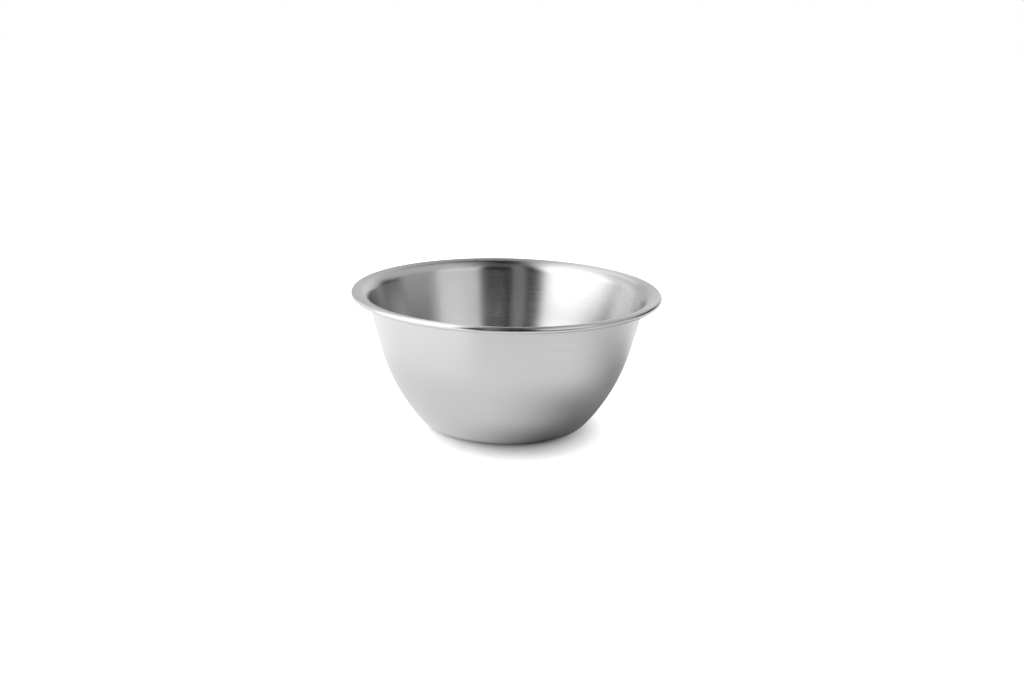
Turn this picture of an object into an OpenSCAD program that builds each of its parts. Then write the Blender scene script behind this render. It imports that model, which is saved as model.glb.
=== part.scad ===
// Prep bowl: one steel sheet, drawn and spun, with a flat base, a curved belly, a leaning wall
// and a lip that rises a little to its edge, which is curled down into a hollow bead.
// Millimetres, +Z up. The origin is the middle of the base, on the surface that the bowl stands on.

/* [Bowl] */
// Diameter over the outside of the rim
rim_d = 160; // [146:1:200]
// Height from the standing surface to the top of the rim
bowl_h = 71.5; // [60:0.5:95]
// Diameter of the flat base
base_d = 69; // [50:1:84]

/* [Sheet] */
// Thickness of the steel sheet
sheet_t = 0.6; // [0.4:0.1:0.8]

/* [Walls] */
// Outside radius of the corner between the base and the belly
corner_r = 12; // [6:0.5:18]
// Outside radius of the belly, seen in a cut through the axis
belly_r = 96; // [70:1:140]
// Angle by which the upper wall leans out from upright
wall_lean = 15; // [8:0.5:22]

/* [Rim] */
// How far the rim stands out past the line of the wall
rim_overhang = 8; // [7:0.1:12]
// Angle by which the lip rises from the bend to its edge
lip_rise = 11.5; // [0:0.5:20]
// Radius under the bend from the wall to the lip
bend_r = 6; // [1:0.1:7]
// Diameter of the bead that the curled edge forms
curl_d = 3.3; // [2.4:0.1:5]
// Slit left between the curled edge and the underside of the lip
curl_slit = 0.25; // [0.1:0.05:0.5]

/* [Smoothness] */
// Flats along the corner, seen in the cut
corner_steps = 10; // [6:1:24]
// Flats along the belly
belly_steps = 18; // [12:1:48]
// Flats round the bend to the lip
bend_steps = 12; // [6:1:24]
// Flats round the curl
curl_steps = 28; // [16:1:60]

/* [Hidden] */
$fn = 180;

rim_r = rim_d / 2;
base_r = base_d / 2;
curl_r = curl_d / 2;

// Directions in the cut: up along the wall, and square to it, away from the axis
wall_up = [sin(wall_lean), cos(wall_lean)];
wall_out = [cos(wall_lean), -sin(wall_lean)];

// The curl lies under the highest line of the rim, and the lip meets it where it points the lip's way
curl_centre = [rim_r - curl_r, bowl_h - curl_r];
lip_end = curl_centre + (curl_r - sheet_t) * [-sin(lip_rise), cos(lip_rise)];

// Where the outside of the wall and the underside of the lip, both carried on straight, would meet
wall_top_r = rim_r - rim_overhang;
wall_top = [wall_top_r, lip_end[1] - (lip_end[0] - wall_top_r) * tan(lip_rise)];

// Centre of the base corner, and how far inside the line of the wall it lies
corner_centre = [base_r, corner_r];
corner_inset = (wall_top - corner_centre) * wall_out;

// The belly runs into the wall and into the base corner without a kink
belly_rise = sqrt((belly_r - corner_r) ^ 2 - (belly_r - corner_inset) ^ 2);
belly_end = wall_top + (belly_rise - (wall_top - corner_centre) * wall_up) * wall_up;
belly_centre = belly_end - belly_r * wall_out;
to_corner = corner_centre - belly_centre;
corner_end_a = atan2(to_corner[1], to_corner[0]);

// The bend runs into the outside of the wall and the underside of the lip
bend_turn = 90 - wall_lean - lip_rise;
bend_centre = wall_top - bend_r * tan(bend_turn / 2) * wall_up + bend_r * wall_out;

// The curl starts on top of the lip and turns out, down and back up, to just under the lip
curl_start_a = 90 + lip_rise;
curl_end_a = lip_rise - 180 - asin((curl_r - sheet_t - curl_slit) / curl_r);

// Points along an arc in the cut, without its first one where the outline already stands there
function arc(centre, r, from_a, to_a, steps, first = 0) =
    [for (i = [first:steps]) let (a = from_a + (to_a - from_a) * i / steps) centre + r * [cos(a), sin(a)]];

// One face of the sheet from the middle of the base to the raw edge inside the curl.
// A depth of zero gives the outside face, and the thickness of the sheet gives the inside face.
// The bend and the curl turn the other way, so the inside face of the bowl is the outside of the bead.
function sheet_face(depth) = concat(
    [[0, depth]],
    arc(corner_centre, corner_r - depth, -90, corner_end_a, corner_steps),
    arc(belly_centre, belly_r - depth, corner_end_a, -wall_lean, belly_steps, first = 1),
    arc(bend_centre, bend_r + depth, 180 - wall_lean, curl_start_a, bend_steps),
    arc(curl_centre, curl_r - sheet_t + depth, curl_start_a, curl_end_a, curl_steps)
);

function reversed(points) = [for (i = [len(points) - 1:-1:0]) points[i]];

// The bowl is one sheet of the same thickness all the way, so its cut is two faces and two ends
module bowl_shell() {
    color("#c9cbcc")
        rotate_extrude()
            polygon(concat(sheet_face(0), reversed(sheet_face(sheet_t))));
}

bowl_shell();
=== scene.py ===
from math import asin, atan2, cos, pi, radians, sin, sqrt, tan

import bpy
from mathutils import Matrix, Vector


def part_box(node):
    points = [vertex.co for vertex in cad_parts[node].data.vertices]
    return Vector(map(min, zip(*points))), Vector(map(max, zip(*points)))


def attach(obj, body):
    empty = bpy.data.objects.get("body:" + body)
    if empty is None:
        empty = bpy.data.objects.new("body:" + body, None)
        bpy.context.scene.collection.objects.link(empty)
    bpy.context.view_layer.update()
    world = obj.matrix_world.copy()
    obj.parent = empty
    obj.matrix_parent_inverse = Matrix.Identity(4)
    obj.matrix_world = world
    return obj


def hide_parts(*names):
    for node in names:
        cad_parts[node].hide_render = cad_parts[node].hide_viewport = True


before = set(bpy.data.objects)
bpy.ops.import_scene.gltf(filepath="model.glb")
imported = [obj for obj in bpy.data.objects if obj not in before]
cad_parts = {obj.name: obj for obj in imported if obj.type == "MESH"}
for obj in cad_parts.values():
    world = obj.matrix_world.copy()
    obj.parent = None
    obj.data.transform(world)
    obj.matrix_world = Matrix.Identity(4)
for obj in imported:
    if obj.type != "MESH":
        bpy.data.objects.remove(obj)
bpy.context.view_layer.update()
mm = 0.001  # one millimetre in metres
lowest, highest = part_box("bowl_shell")
# the CAD rim has flats, so its box is a hair small
rimRadius = round((highest.x - lowest.x) / 2 / mm, 1) * mm
bowlHeight = highest.z - lowest.z
print("frame loaded, nodes:", ", ".join(sorted(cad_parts)))


def hexToLinear(code):
    # an sRGB hex colour as the linear values that the nodes take
    parts = [int(code[i:i + 2], 16) / 255 for i in (1, 3, 5)]
    return [p / 12.92 if p <= 0.04045 else ((p + 0.055) / 1.055) ** 2.4 for p in parts] + [1.0]


def addNode(tree, kind, settings={}, values={}, links={}):
    # one node with its settings, its fixed socket values and what is plugged into it
    node = tree.nodes.new(kind)
    for name, value in settings.items():
        setattr(node, name, value)
    for socket, value in values.items():
        node.inputs[socket].default_value = value
    for socket, source in links.items():
        tree.links.new(source, node.inputs[socket])
    return node


def newMaterial(name):
    material = bpy.data.materials.new(name)
    material.use_nodes = True
    material.node_tree.nodes.clear()
    return material, material.node_tree


# the camera, where the photograph was taken from
camera = {
    "photoSize": (1024, 682),     # pixels
    "focalLength": 2000,          # pixels of the photograph
    "distance": 1.0394,           # metres from the point that it looks at
    "elevation": 15.03,           # degrees above the horizon
    "tilt": 1.267,                # degrees that the picture is turned clockwise
    "aimHeight": 0.035,           # metres above the base, of the point on the axis that it looks at
    "aimPixel": (505.25, 358.54),  # where the photograph shows that point
    "sensorWidth": 36,            # millimetres
    "clip": (0.01, 50),           # metres, the nearest and farthest that it sees
}


def makeCamera():
    c = camera
    up, turn = radians(c["elevation"]), radians(c["tilt"])
    back = Vector((0, -cos(up), sin(up)))
    right, top = Vector((1, 0, 0)), Vector((0, sin(up), cos(up)))
    right, top = cos(turn) * right + sin(turn) * top, cos(turn) * top - sin(turn) * right
    aimed = Matrix((right, top, back)).transposed()
    # the bowl stands a little off the middle of the picture, so the camera looks a little past it
    width, height = c["photoSize"]
    aimX, aimY = c["aimPixel"]
    seen = Vector((aimX - width / 2, height / 2 - aimY, -c["focalLength"]))
    aimed = aimed @ seen.rotation_difference(Vector((0, 0, -1))).to_matrix()
    place = Vector((0, 0, c["aimHeight"])) + back * c["distance"]
    data = bpy.data.cameras.new("photoCamera")
    data.sensor_width = c["sensorWidth"]
    data.lens = c["sensorWidth"] * c["focalLength"] / width
    data.clip_start, data.clip_end = c["clip"]
    eye = bpy.data.objects.new("photoCamera", data)
    eye.matrix_world = Matrix.Translation(place) @ aimed.to_4x4()
    bpy.context.scene.collection.objects.link(eye)
    bpy.context.scene.camera = eye


makeCamera()
print("camera placed")

# The steel and its four finishes. lineWidth and lineLength are the size of a scratch in millimetres. Real
# scratches are 0.05 to 0.1 mm wide, too fine to show in the render, so they are drawn 0.7 to 1 mm wide.
# lineTilt is the slope by which a scratch leans, and roughnessShift how much roughness differs among them.
steel = {
    "colour": "#cdcdcd",          # bare stainless steel, neutral
    "spreadTurn": 0.25,           # of a turn: reflections spread square to the scratches
    "tiltNoise": (0.25, 0.75),    # noise values between which a scratch leans from one side to the other
    "roughnessNoise": (0.3, 0.7),  # noise values between which it goes from smooth to rough
}
finishes = {
    # satin, rubbed evenly all over: a soft sheen with no clear reflections
    "outside": {"material": "stainlessSteelSatinOutside", "roughness": 0.30, "anisotropy": 0.6,
                "lineWidth": 0.8, "lineLength": 120, "lineTilt": 0.004, "roughnessShift": 0.05},
    # turned with abrasive cloth: fine rings that smear what they mirror up and down the wall
    "inside": {"material": "stainlessSteelTurnedInside", "roughness": 0.25, "anisotropy": 1.0,
               "lineWidth": 0.7, "lineLength": 500, "lineTilt": 0.004, "roughnessShift": 0.04},
    # the same cloth held on the bend and the lip, which leaves them a little smoother
    "lip": {"material": "stainlessSteelTurnedLip", "roughness": 0.22, "anisotropy": 1.0,
            "lineWidth": 0.8, "lineLength": 500, "lineTilt": 0.004, "roughnessShift": 0.04},
    # burnished by the roller that closed the bead: narrow bright and dark lines along it
    "bead": {"material": "stainlessSteelBurnishedBead", "roughness": 0.22, "anisotropy": 0.6,
             "lineWidth": 1.0, "lineLength": 80, "lineTilt": 0.002, "roughnessShift": 0.03},
}


def steelFinish(finish):
    # Stainless steel sheet that turned under the abrasive, so its scratches run round the bowl.
    # They spread a reflection along the cut of the bowl and leave it sharp round the bowl.
    material, tree = newMaterial(finish["material"])
    place = addNode(tree, "ShaderNodeTexCoord")
    parts = addNode(tree, "ShaderNodeSeparateXYZ", links={0: place.outputs["Object"]})
    flat = addNode(tree, "ShaderNodeCombineXYZ", links={0: parts.outputs[0], 1: parts.outputs[1]})
    outward = addNode(tree, "ShaderNodeVectorMath", {"operation": "NORMALIZE"}, links={0: flat.outputs[0]})
    # scratches are a noise stretched round the bowl: its third axis runs along the cut, its others round it
    sheet = addNode(tree, "ShaderNodeUVMap", {"uv_map": "sheet"})
    sheetParts = addNode(tree, "ShaderNodeSeparateXYZ", links={0: sheet.outputs[0]})
    along = addNode(tree, "ShaderNodeMath", {"operation": "MULTIPLY"},
                    {1: 1 / (finish["lineWidth"] * mm)}, {0: sheetParts.outputs[1]})
    turned = addNode(tree, "ShaderNodeVectorMath", {"operation": "SCALE"},
                     {"Scale": rimRadius / (finish["lineLength"] * mm)}, {0: outward.outputs[0]})
    turnedParts = addNode(tree, "ShaderNodeSeparateXYZ", links={0: turned.outputs[0]})
    scratchPlace = addNode(tree, "ShaderNodeCombineXYZ",
                           links={0: turnedParts.outputs[0], 1: turnedParts.outputs[1],
                                  2: along.outputs[0]})
    scratches = addNode(tree, "ShaderNodeTexNoise", {"noise_dimensions": "3D"},
                        {"Scale": 1.0, "Detail": 0.0}, {"Vector": scratchPlace.outputs[0]})
    # each scratch leans a little, which shifts what it mirrors sideways
    sideways = addNode(tree, "ShaderNodeVectorMath", {"operation": "CROSS_PRODUCT"},
                       {0: (0, 0, 1)}, {1: outward.outputs[0]})
    tilt = addNode(tree, "ShaderNodeMapRange", {},
                   {"From Min": steel["tiltNoise"][0], "From Max": steel["tiltNoise"][1],
                    "To Min": -finish["lineTilt"], "To Max": finish["lineTilt"]},
                   {"Value": scratches.outputs[0]})
    leaning = addNode(tree, "ShaderNodeVectorMath", {"operation": "SCALE"},
                      links={0: sideways.outputs[0], "Scale": tilt.outputs[0]})
    facing = addNode(tree, "ShaderNodeNewGeometry")
    leaned = addNode(tree, "ShaderNodeVectorMath", {"operation": "ADD"},
                     links={0: facing.outputs["Normal"], 1: leaning.outputs[0]})
    normal = addNode(tree, "ShaderNodeVectorMath", {"operation": "NORMALIZE"}, links={0: leaned.outputs[0]})
    rough = addNode(tree, "ShaderNodeMapRange", {},
                    {"From Min": steel["roughnessNoise"][0], "From Max": steel["roughnessNoise"][1],
                     "To Min": finish["roughness"] - finish["roughnessShift"] / 2,
                     "To Max": finish["roughness"] + finish["roughnessShift"] / 2},
                    {"Value": scratches.outputs[0]})
    ring = addNode(tree, "ShaderNodeTangent", {"direction_type": "RADIAL", "axis": "Z"})
    shader = addNode(tree, "ShaderNodeBsdfPrincipled", {},
                     {"Base Color": hexToLinear(steel["colour"]), "Metallic": 1.0,
                      "Anisotropic": finish["anisotropy"], "Anisotropic Rotation": steel["spreadTurn"]},
                     {"Roughness": rough.outputs[0], "Normal": normal.outputs[0],
                      "Tangent": ring.outputs[0]})
    addNode(tree, "ShaderNodeOutputMaterial", links={0: shader.outputs[0]})
    return material


# the bowl, one sheet turned about the upright axis
bowl = {  # millimetres and degrees; the rim's width and the height come from the frame
    "baseDiameter": 69,
    "sheet": 0.6,
    "cornerRadius": 12,
    "bellyRadius": 96,
    "wallLean": 15,
    "rimOverhang": 8,
    "lipRise": 11.5,
    "bendRadius": 6,
    "curlDiameter": 3.3,
    "curlSlit": 0.25,
    "turns": 320,                 # steps round the bowl
    "baseStep": 3.0,              # spacing of the points on the flat base
    "wallStep": 1.2,              # on the belly and the straight wall
    "cornerStep": 0.66,           # on the corner of the base and on the lip
    "bendStep": 0.22,             # on the bend and the curl
    "samePoint": 0.001,           # points closer than this are one
}


def arcPoints(centre, radius, fromAngle, toAngle, step):
    count = max(2, round(abs(toAngle - fromAngle) * radius / step))
    angles = [fromAngle + (toAngle - fromAngle) * i / count for i in range(count + 1)]
    return [centre + radius * Vector((cos(a), sin(a))) for a in angles]


def linePoints(start, end, step):
    count = max(1, round((end - start).length / step))
    return [start.lerp(end, i / count) for i in range(count + 1)]


def sheetFace(depth):
    # One face of the sheet from the middle of the base to the edge inside the curl, as stretches of points,
    # each with its finish on the inside. Depth 0 is the outside face, and the sheet the inside face.
    b = bowl
    rimR, height, sheet = rimRadius / mm, bowlHeight / mm, b["sheet"]
    lean, rise = radians(b["wallLean"]), radians(b["lipRise"])
    wallUp, wallOut = Vector((sin(lean), cos(lean))), Vector((cos(lean), -sin(lean)))
    cornerR, bellyR, bendR = b["cornerRadius"], b["bellyRadius"], b["bendRadius"]
    # the curl lies under the highest line of the rim, and the lip meets it where it points the lip's way
    curlR = b["curlDiameter"] / 2
    curlCentre = Vector((rimR - curlR, height - curlR))
    lipEnd = curlCentre + (curlR - sheet) * Vector((-sin(rise), cos(rise)))
    # where the outside of the wall and the underside of the lip would meet
    wallTopR = rimR - b["rimOverhang"]
    wallTop = Vector((wallTopR, lipEnd.y - (lipEnd.x - wallTopR) * tan(rise)))
    # the belly runs into the wall and the corner, and the bend into the wall and the lip, without a kink
    cornerCentre = Vector((b["baseDiameter"] / 2, cornerR))
    inset = (wallTop - cornerCentre).dot(wallOut)
    bellyRise = sqrt((bellyR - cornerR) ** 2 - (bellyR - inset) ** 2)
    bellyEnd = wallTop + (bellyRise - (wallTop - cornerCentre).dot(wallUp)) * wallUp
    bellyCentre = bellyEnd - bellyR * wallOut
    toCorner = cornerCentre - bellyCentre
    cornerEnd = atan2(toCorner.y, toCorner.x)
    bendTurn = pi / 2 - lean - rise
    bendCentre = wallTop - bendR * tan(bendTurn / 2) * wallUp + bendR * wallOut
    curlStart = pi / 2 + rise
    curlEnd = rise - pi - asin((curlR - sheet - b["curlSlit"]) / curlR)
    corner = arcPoints(cornerCentre, cornerR - depth, -pi / 2, cornerEnd, b["cornerStep"])
    belly = arcPoints(bellyCentre, bellyR - depth, cornerEnd, -lean, b["wallStep"])
    bend = arcPoints(bendCentre, bendR + depth, pi - lean, curlStart, b["bendStep"])
    curl = arcPoints(curlCentre, curlR - sheet + depth, curlStart, curlEnd, b["bendStep"])
    base = linePoints(Vector((0, depth)), corner[0], b["baseStep"])
    wall = linePoints(belly[-1], bend[0], b["wallStep"])
    lip = linePoints(bend[-1], curl[0], b["cornerStep"])
    return [("inside", base), ("inside", corner), ("inside", belly), ("inside", wall),
            ("lip", bend), ("lip", lip), ("bead", curl)]


def joinStretches(stretches):
    points, names = [], []
    for name, stretch in stretches:
        for point in stretch:
            if points and (point - points[-1]).length < bowl["samePoint"]:
                continue
            points.append(point)
            names.append(name)
    return points, names


def turnSheet(points, turns):
    # Corners and faces of the turned sheet, from the middle of its underside to the middle of its floor.
    # For each face there are also the places of its corners, as (steps round, point of the cut).
    corners = [(0, 0, points[0].y * mm)]
    for point in points[1:-1]:
        for t in range(turns):
            a = 2 * pi * t / turns
            corners.append((point.x * mm * cos(a), point.x * mm * sin(a), point.y * mm))
    corners.append((0, 0, points[-1].y * mm))
    rings, last = len(points) - 2, len(corners) - 1
    top = last - turns
    faces, places = [], []
    for t in range(turns):
        n = (t + 1) % turns
        faces.append((0, 1 + n, 1 + t))
        places.append([(t, 0), (t + 1, 1), (t, 1)])
        for r in range(1, rings):
            low, high = 1 + (r - 1) * turns, 1 + r * turns
            faces.append((low + t, low + n, high + n, high + t))
            places.append([(t, r), (t + 1, r), (t + 1, r + 1), (t, r + 1)])
        faces.append((top + t, top + n, last))
        places.append([(t, rings), (t + 1, rings), (t, rings + 1)])
    return corners, faces, places


def makeBowl():
    outer, outerNames = joinStretches(sheetFace(0))
    inner, innerNames = joinStretches(sheetFace(bowl["sheet"]))
    points = outer + inner[::-1]
    # the underside of the lip and the inside of the curl are as satin as the rest of the outside
    names = ["outside"] * len(outerNames) + innerNames[::-1]
    lengths = [0.0]  # metres along the cut
    for before, after in zip(points, points[1:]):
        lengths.append(lengths[-1] + (after - before).length * mm)
    corners, faces, places = turnSheet(points, bowl["turns"])
    mesh = bpy.data.meshes.new("bowlSheet")
    mesh.from_pydata(corners, [], faces)
    uvs = []
    for place in places:
        for turn, ring in place:
            uvs += (turn / bowl["turns"], lengths[ring])
    mesh.uv_layers.new(name="sheet").data.foreach_set("uv", uvs)
    # a face takes the finish of the last point that it reaches
    order = list(finishes)
    mesh.polygons.foreach_set("material_index", [order.index(names[place[-1][1]]) for place in places])
    mesh.polygons.foreach_set("use_smooth", [True] * len(faces))
    for finish in finishes.values():
        mesh.materials.append(steelFinish(finish))
    mesh.update()
    piece = bpy.data.objects.new("bowlSheet", mesh)
    bpy.context.scene.collection.objects.link(piece)
    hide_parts("bowl_shell")
    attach(piece, "root")
    print("bowl turned:", len(points), "points in the cut,", len(faces), "faces")


makeBowl()


def linkStage(name, mesh, material):
    mesh.materials.append(material)
    thing = bpy.data.objects.new(name, mesh)
    bpy.context.scene.collection.objects.link(thing)
    return thing


# The table adds light of its own for the eye alone, so that it reads white, but not in the bowl's shadow.
floor = {
    "colour": "#fbfbfb",
    "halfWidth": 1.6,             # metres
    "shadowPlace": (0.002, -0.004),  # metres, middle of the oval round the foot that keeps its shadow
    "shadowSize": (0.056, 0.077),  # metres, half its width and half its depth
    "fadeFrom": 0.46,             # share of that size at which the shadow starts to fade out
    "fadePower": 1.3,             # how slowly it starts to fade
}


def makeFloor():
    # matt white laminate: no gloss, it takes the soft shadow. From partway out in the oval round the foot
    # it glows more and more for the eye alone: painted light that washes the shadow out to white further
    # away
    material, tree = newMaterial("mattWhiteTable")
    ray = addNode(tree, "ShaderNodeLightPath")
    place = addNode(tree, "ShaderNodeTexCoord")
    inOval = addNode(tree, "ShaderNodeMapping", {"vector_type": "TEXTURE"},
                     {"Location": (*floor["shadowPlace"], 0), "Scale": (*floor["shadowSize"], 1)},
                     {"Vector": place.outputs["Object"]})
    away = addNode(tree, "ShaderNodeVectorMath", {"operation": "LENGTH"}, links={0: inOval.outputs[0]})
    fade = addNode(tree, "ShaderNodeMapRange", {}, {"From Min": floor["fadeFrom"]},
                   {"Value": away.outputs["Value"]})
    slow = addNode(tree, "ShaderNodeMath", {"operation": "POWER"}, {1: floor["fadePower"]},
                   {0: fade.outputs[0]})
    lift = addNode(tree, "ShaderNodeMath", {"operation": "MULTIPLY"},
                   links={0: slow.outputs[0], 1: ray.outputs["Is Camera Ray"]})
    paint = addNode(tree, "ShaderNodeBsdfDiffuse", values={"Color": hexToLinear(floor["colour"])})
    glow = addNode(tree, "ShaderNodeEmission", links={"Strength": lift.outputs[0]})
    both = addNode(tree, "ShaderNodeAddShader", links={0: paint.outputs[0], 1: glow.outputs[0]})
    addNode(tree, "ShaderNodeOutputMaterial", links={0: both.outputs[0]})
    half = floor["halfWidth"]
    mesh = bpy.data.meshes.new("floor")
    corners = [(-half, -half, 0), (half, -half, 0), (half, half, 0), (-half, half, 0)]
    mesh.from_pydata(corners, [], [(0, 1, 2, 3)])
    linkStage("floor", mesh, material).visible_glossy = False


# What the steel mirrors: a tent of white cloth with lamps behind it and dark openings, and below, the table
# with painted light and shade.
# Angles are in degrees: around is from the camera's side, positive to the right, up is from the horizon.
# On the table, out is metres from the middle. Each patch is painted over the ones before it, and fades over
# sideFade and endFade, which lie half inside its edges and half outside. An edge past the end of the cloth
# or the table, such as 120 up or 9 out, means that the patch runs on to that end.
tent = {
    "distance": 1.3,              # metres
    "height": 0.03,               # metres, about the middle of the bowl
    "cloth": 0.65,                # brightness where no patch is
    "ups": [-2 + 2 * i for i in range(47)],  # degrees, its rings, from the horizon to straight up
    "columns": 180,
}
tentPatches = {
    # left: a lit wall, and in it the window that stands as a bright band on the right of the back wall
    "leftWall": {"around": (-140, -50), "up": (-30, 120), "glow": 1.1,
                 "sideFade": (24, 20), "endFade": (1, 1)},
    "leftDip": {"around": (-120, -111), "up": (2, 28), "glow": 0.95,
                "sideFade": (6, 6), "endFade": (6, 10)},
    "topLeft": {"around": (-165, -53), "up": (50, 120), "glow": 1.45,
                "sideFade": (40, 20), "endFade": (24, 1)},
    "topWindow": {"around": (-104, -51), "up": (60, 120), "glow": 1.65,
                  "sideFade": (20, 20), "endFade": (10, 1)},
    "window": {"around": (-104, -38), "up": (-30, 60), "glow": 1.75,
               "sideFade": (20, 26), "endFade": (1, 16)},
    "windowLow": {"around": (-100, -38), "up": (-30, 50), "glow": 2.3,
                  "sideFade": (30, 26), "endFade": (1, 30)},
    "windowHeart": {"around": (-92, -48), "up": (8, 36), "glow": 2.6,
                    "sideFade": (20, 14), "endFade": (10, 16)},
    "backLeftTop": {"around": (-180, -158), "up": (30, 58), "glow": 1.35,
                    "sideFade": (8, 14), "endFade": (10, 10)},
    # front and above: the dark room behind the camera, with one paler stripe
    "front": {"around": (-33, 27), "up": (-30, 66), "glow": 0.01,
              "sideFade": (14, 5), "endFade": (1, 24)},
    "frontTop": {"around": (-46, 60), "up": (62, 120), "glow": 0.2,
                 "sideFade": (14, 30), "endFade": (14, 1)},
    "zenith": {"around": (-200, 200), "up": (76, 120), "glow": 0.12,
               "sideFade": (1, 1), "endFade": (16, 1)},
    "stripe": {"around": (-18, -5), "up": (12, 70), "glow": 0.28,
               "sideFade": (4, 4), "endFade": (12, 10)},
    # right: a pale wall near the camera, darker low down and towards the back
    "rightFront": {"around": (27, 69), "up": (13, 50), "glow": 1.05,
                   "sideFade": (10, 12), "endFade": (8, 24)},
    "rightFrontMid": {"around": (22, 90), "up": (4, 14), "glow": 0.65,
                      "sideFade": (8, 20), "endFade": (6, 1)},
    "rightFrontLow": {"around": (18, 50), "up": (-30, 5), "glow": 0.1,
                      "sideFade": (8, 24), "endFade": (1, 6)},
    "right": {"around": (69, 108), "up": (15, 36), "glow": 0.42,
              "sideFade": (10, 10), "endFade": (6, 12)},
    "rightBack": {"around": (105, 142), "up": (3, 24), "glow": 0.0,
                  "sideFade": (14, 30), "endFade": (8, 14)},
    "rightBackLow": {"around": (100, 172), "up": (-30, 3), "glow": 0.38,
                     "sideFade": (14, 14), "endFade": (1, 6)},
    # back: pale low down and dark high up, which the lip mirrors
    "backLow": {"around": (150, 178), "up": (0, 28), "glow": 0.85,
                "sideFade": (30, 16), "endFade": (6, 12)},
    "backTop": {"around": (160, 196), "up": (58, 120), "glow": 0.0,
                "sideFade": (20, 24), "endFade": (10, 1)},
    "backLine": {"around": (165, 184), "up": (38, 62), "glow": 0.0,
                 "sideFade": (10, 8), "endFade": (10, 10)},
}
# The table that the steel mirrors is a copy seen by mirror rays alone: the light on it and the bowl's
# shadow are painted on as fixed tones, not cast by the lamps.
tableTop = {
    "tone": 0.98,                 # brightness where no patch is
    "nearOuts": [0.034 + 0.004 * i for i in range(19)],  # metres, its rings, close together at the foot
    "farOuts": [0.11, 0.12, 0.13, 0.14, 0.15, 0.165, 0.18, 0.2, 0.23, 0.26, 0.3, 0.35, 0.4, 0.5, 0.7,
                1.0, 1.4],
    "columns": 120,
}
tableLightAndShadePatches = {
    # painted light and shade on the table: brighter far to the left, darker towards the front and far in
    # front
    "outer": {"around": (-200, 200), "out": (0.1, 9), "glow": 1.06,
              "sideFade": (1, 1), "endFade": (0.06, 1)},
    "farLeft": {"around": (-150, -25), "out": (0.135, 9), "glow": 1.3,
                "sideFade": (80, 10), "endFade": (0.07, 1)},
    "frontNear": {"around": (-62, 10), "out": (-1, 0.088), "glow": 0.93,
                  "sideFade": (30, 30), "endFade": (1, 0.02)},
    "frontMid": {"around": (-20, 90), "out": (0.17, 9), "glow": 0.7,
                 "sideFade": (10, 60), "endFade": (0.03, 1)},
    "frontFar": {"around": (-20, 52), "out": (0.3, 9), "glow": 0.15,
                 "sideFade": (10, 20), "endFade": (0.2, 1)},
    # painted shadow: the bowl's own shadow, and the dark line where it touches the table, as darker tones
    "shadowFar": {"around": (72, 135), "out": (0.07, 0.15), "glow": 0.36,
                  "sideFade": (60, 40), "endFade": (0.03, 0.06)},
    "shadowMid": {"around": (22, 125), "out": (0.043, 0.085), "glow": 0.25,
                  "sideFade": (80, 50), "endFade": (0.016, 0.05)},
    "shadowNear": {"around": (-10, 118), "out": (-1, 0.05), "glow": 0.06,
                   "sideFade": (100, 180), "endFade": (1, 0.02)},
    "paintedContactShadow": {"around": (-200, 200), "out": (-1, 0.038), "glow": 0.0,
                "sideFade": (1, 1), "endFade": (1, 0.006)},
}


def softStep(x):
    x = min(1.0, max(0.0, x))
    return x * x * (3 - 2 * x)


def between(x, edges, fades):
    return softStep((x - edges[0]) / fades[0] + 0.5) * softStep((edges[1] - x) / fades[1] + 0.5)


def patchedGlow(patches, start, span, ring, around):
    # the brightness after all patches; ring is the angle up, or the way out on the table, that span names
    glow = start
    for patch in patches.values():
        middle = (patch["around"][0] + patch["around"][1]) / 2
        nearest = (around - middle + 180) % 360 - 180 + middle
        share = between(nearest, patch["around"], patch["sideFade"])
        share *= between(ring, patch[span], patch["endFade"])
        glow += (patch["glow"] - glow) * share
    return glow


def ringMesh(name, rings, columns, place, glow):
    # a mesh of rings about the upright axis, with a brightness stored at each corner
    arounds = [360 * c / columns for c in range(columns)]
    corners = [place(ring, around) for ring in rings for around in arounds]
    glows = [glow(ring, around) for ring in rings for around in arounds]
    faces = []
    for r in range(len(rings) - 1):
        low, high = r * columns, (r + 1) * columns
        for c in range(columns):
            n = (c + 1) % columns
            faces.append((low + c, low + n, high + n, high + c))
    mesh = bpy.data.meshes.new(name)
    mesh.from_pydata(corners, [], faces)
    mesh.attributes.new("glow", "FLOAT", "POINT").data.foreach_set("value", glows)
    return mesh


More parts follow.
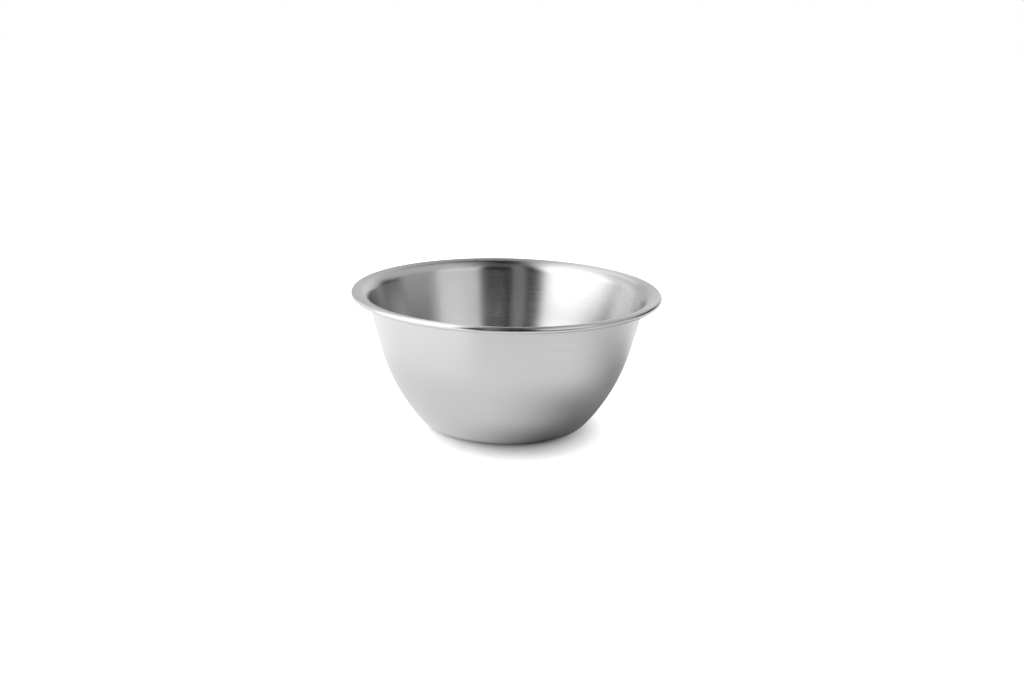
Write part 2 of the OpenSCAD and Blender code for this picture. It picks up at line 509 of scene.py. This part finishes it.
def makeTent():
    # white cloth lit from behind, and the table with its painted light and shadow: only mirror rays see
    # them, so they add no light to the table
    material, tree = newMaterial("clothAndPaintedTableGlow")
    stored = addNode(tree, "ShaderNodeAttribute", {"attribute_name": "glow"})
    glow = addNode(tree, "ShaderNodeEmission", links={"Strength": stored.outputs["Fac"]})
    addNode(tree, "ShaderNodeOutputMaterial", links={0: glow.outputs[0]})
    far = tent["distance"]

    def inTent(up, around):
        a, e = radians(around), radians(up)
        return far * sin(a) * cos(e), -far * cos(a) * cos(e), far * sin(e) + tent["height"]

    def onTable(out, around):
        return out * sin(radians(around)), -out * cos(radians(around)), 0

    def tentGlow(up, around):
        return patchedGlow(tentPatches, tent["cloth"], "up", up, around)

    def tableGlow(out, around):
        return patchedGlow(tableLightAndShadePatches, tableTop["tone"], "out", out, around)

    outs = tableTop["nearOuts"] + tableTop["farOuts"]
    cloth = ringMesh("tent", tent["ups"], tent["columns"], inTent, tentGlow)
    mirrored = ringMesh("paintedTableInSteel", outs, tableTop["columns"], onTable, tableGlow)
    for name, mesh in (("tent", cloth), ("paintedTableInSteel", mirrored)):
        thing = linkStage(name, mesh, material)
        thing.visible_camera = False
        thing.visible_diffuse = False
        thing.visible_shadow = False
        thing.visible_transmission = False


# soft lamps as wide as studio panels, which light the table and aren't mirrored themselves
lamps = [  # place is the way to the lamp, and spans how many degrees of the sky it takes up
    {"name": "keyPanel", "strength": 1.9, "place": (-0.45, 0.25, 1.0), "spans": 70},
    {"name": "skyPanel", "strength": 1.5, "place": (0, 0, 1), "spans": 160},
]


def makeWorld():
    # white, but for the eye and mirror rays alone, so that it adds no light
    world = bpy.data.worlds.new("paleStudio")
    bpy.context.scene.world = world
    world.use_nodes = True
    tree = world.node_tree
    tree.nodes.clear()
    ray = addNode(tree, "ShaderNodeLightPath")
    eyeOrMirror = addNode(tree, "ShaderNodeMath", {"operation": "MAXIMUM"},
                          links={0: ray.outputs["Is Camera Ray"], 1: ray.outputs["Is Glossy Ray"]})
    seen = addNode(tree, "ShaderNodeMath", {"operation": "MAXIMUM"},
                   links={0: eyeOrMirror.outputs[0], 1: ray.outputs["Is Transmission Ray"]})
    sky = addNode(tree, "ShaderNodeBackground", values={"Color": (1, 1, 1, 1)},
                  links={"Strength": seen.outputs[0]})
    addNode(tree, "ShaderNodeOutputWorld", links={0: sky.outputs[0]})


def makeLamps():
    for panel in lamps:
        light = bpy.data.lights.new(panel["name"], "SUN")
        light.energy = panel["strength"]
        light.angle = radians(panel["spans"])
        lamp = bpy.data.objects.new(panel["name"], light)
        lamp.rotation_euler = (-Vector(panel["place"])).to_track_quat("-Z", "Y").to_euler()
        lamp.visible_glossy = False
        bpy.context.scene.collection.objects.link(lamp)


makeFloor()
makeTent()
makeWorld()
makeLamps()
bpy.context.scene.view_settings.view_transform = "Standard"
print("floor, tent, world and lamps set")
